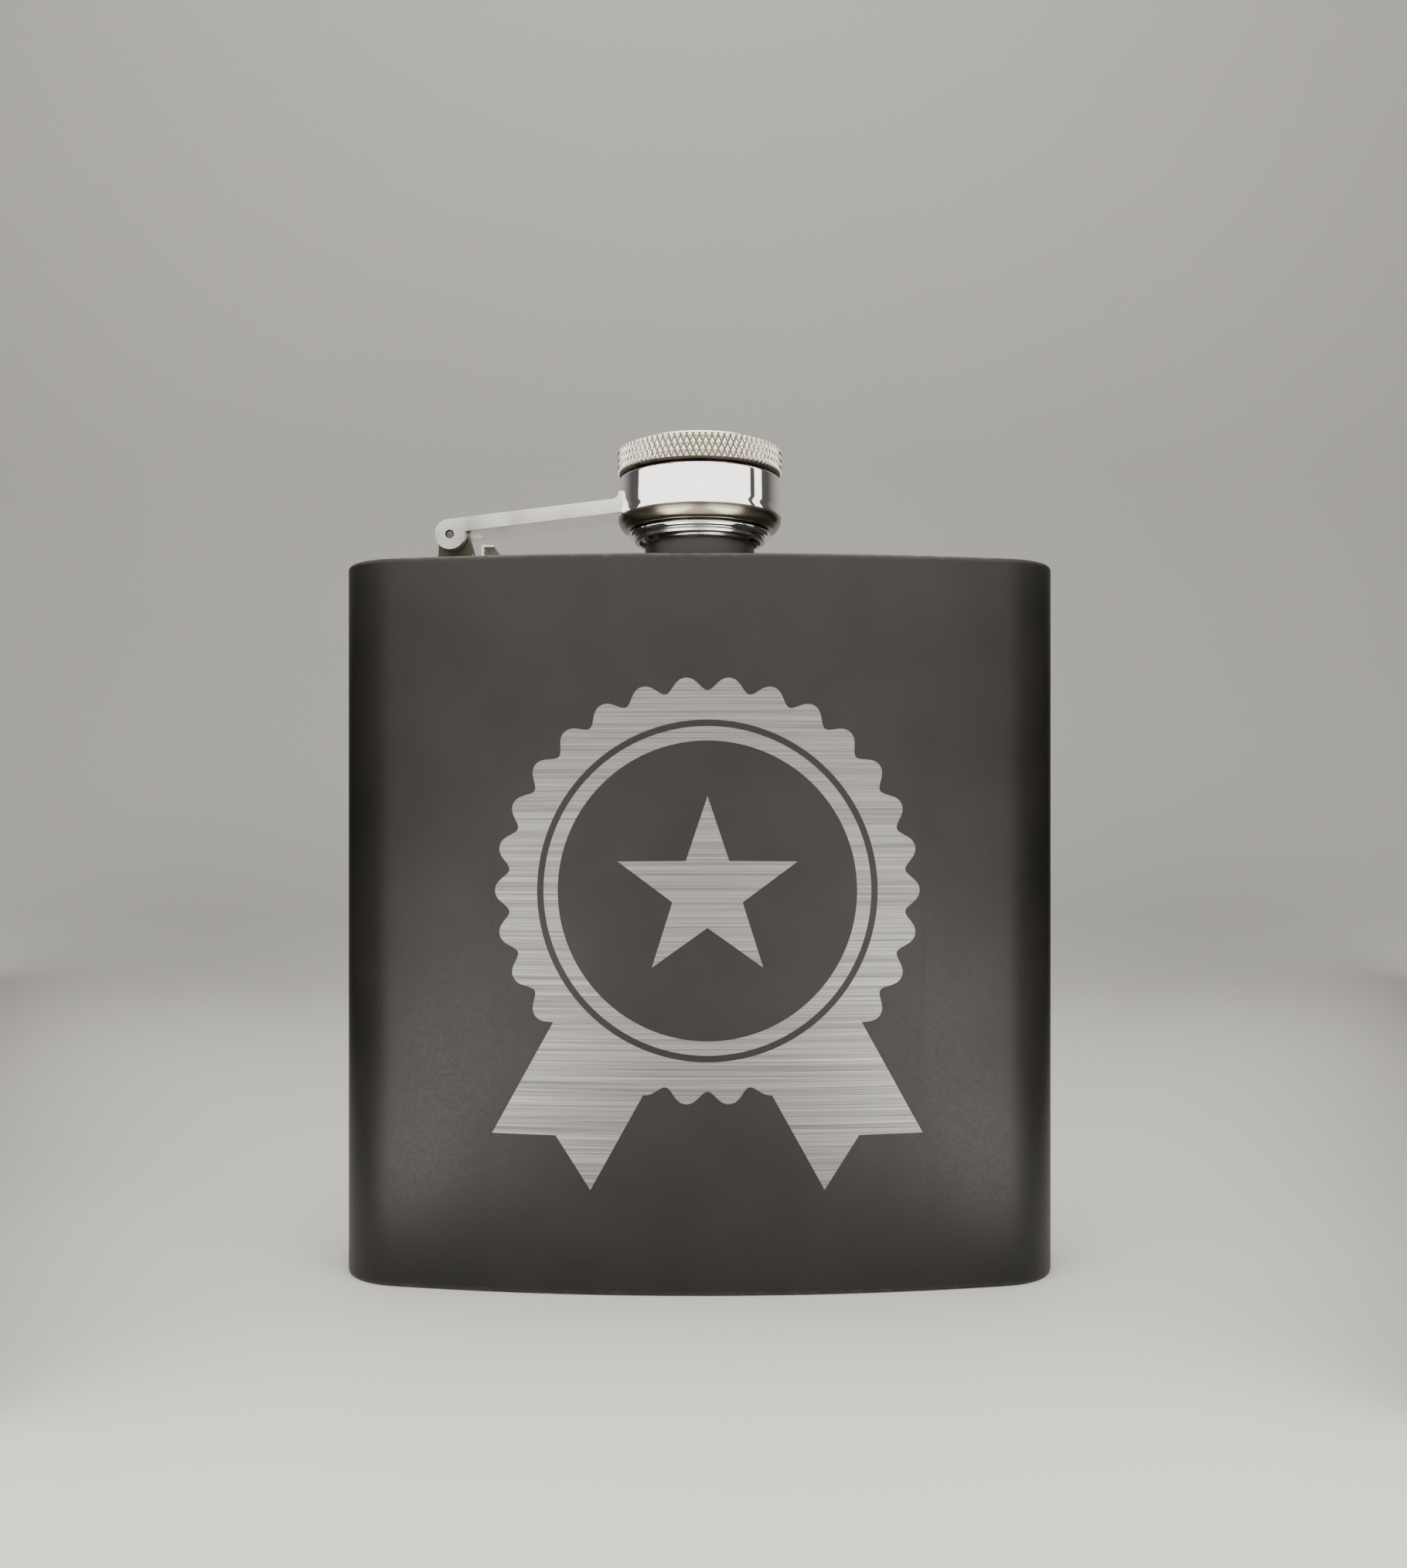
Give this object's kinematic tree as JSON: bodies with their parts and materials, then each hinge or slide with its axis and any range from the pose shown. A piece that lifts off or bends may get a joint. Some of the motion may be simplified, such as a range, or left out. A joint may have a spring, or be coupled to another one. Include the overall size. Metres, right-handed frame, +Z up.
{
  "type": "hip flask",
  "caption": "Curved pocket flask in black-coated steel with an engraved award rosette, and a knurled screw cap held captive by a polished collar on a hinged arm.",
  "frame": {"origin": "centre of the bounding box in plan, on the plane the flask stands on", "axes": "+Z up through the neck, -Y out of the convex front face, +Y out of the concave hip side, -X towards the hinge"},
  "size_m": [0.093, 0.0256, 0.1079],
  "materials": {
    "black_coat": "matte black powder coat",
    "bare_steel": "bare satin stainless steel",
    "polished_steel": "mirror-polished stainless steel",
    "gasket": "soft grey silicone"
  },
  "bodies": {
    "flask": {"body_wrap": "black_coat", "top_plate": "black_coat", "base_plate": "black_coat", "neck": "black_coat", "hinge_bracket": "bare_steel", "hinge_pin": "bare_steel"},
    "arm": {"hinge_arm": "polished_steel", "cap_collar": "polished_steel"},
    "cap": {"cap_head": "bare_steel", "cap_sleeve": "bare_steel", "cap_gasket": "gasket", "collar_ring": "polished_steel"}
  },
  "joints": [
    {"name": "arm_swing", "type": "hinge", "parent": "flask", "child": "arm", "pos_m": [-0.0324, -0.00177, 0.0963], "axis": [0, -1, 0], "range_deg": [0, 170]},
    {"name": "cap_turn", "type": "hinge", "parent": "arm", "child": "cap", "pos_m": [0, -0.00177, 0.0925], "axis": [0, 0, 1], "continuous": true}
  ]
}
